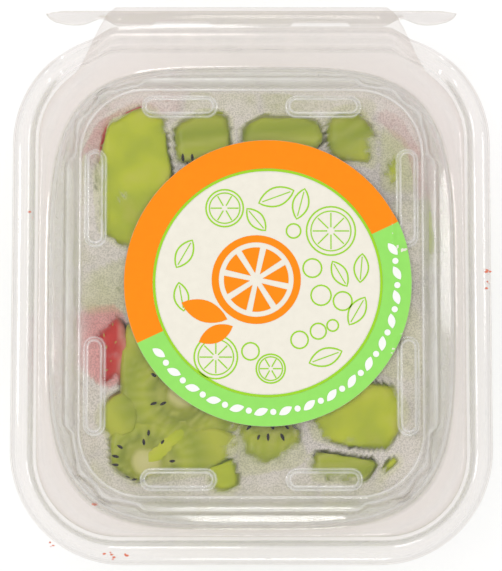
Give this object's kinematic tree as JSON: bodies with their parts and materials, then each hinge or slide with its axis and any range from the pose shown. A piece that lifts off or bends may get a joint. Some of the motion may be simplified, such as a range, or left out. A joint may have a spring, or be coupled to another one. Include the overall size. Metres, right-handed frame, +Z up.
{
  "type": "fruit salad in a clear hinged pack",
  "caption": "Cut melon, kiwi and strawberry in a shut clear hinged plastic pack with a tear strip and a round paper label on the lid.",
  "frame": {"origin": "centre of the tray's flat bottom, on the surface it stands on", "axes": "+Z up; +Y towards the hinge and tear strip; +X to the right when seen from the front"},
  "size_m": [0.1288, 0.1503, 0.058],
  "materials": {
    "clear_tray": "thin clear formed plastic, glossy",
    "clear_lid": "thin clear formed plastic, glossy outside, fogged inside with fine drops",
    "clear_strip": "thin clear formed plastic, glossy",
    "label": "satin printed paper sticker in orange, green and cream",
    "fruit": "moist cut fruit: yellow-green melon, green kiwi with dark seeds, red strawberry"
  },
  "bodies": {
    "pack": {"tray": "clear_tray", "tear_strip": "clear_strip", "fruit_salad": "fruit"},
    "lid": {"lid": "clear_lid", "label": "label"}
  },
  "joints": [
    {"name": "lid_hinge", "type": "hinge", "parent": "pack", "child": "lid", "pos_m": [0, 0.0783, 0.04425], "axis": [-1, 0, 0], "range_deg": [0, 180]}
  ]
}
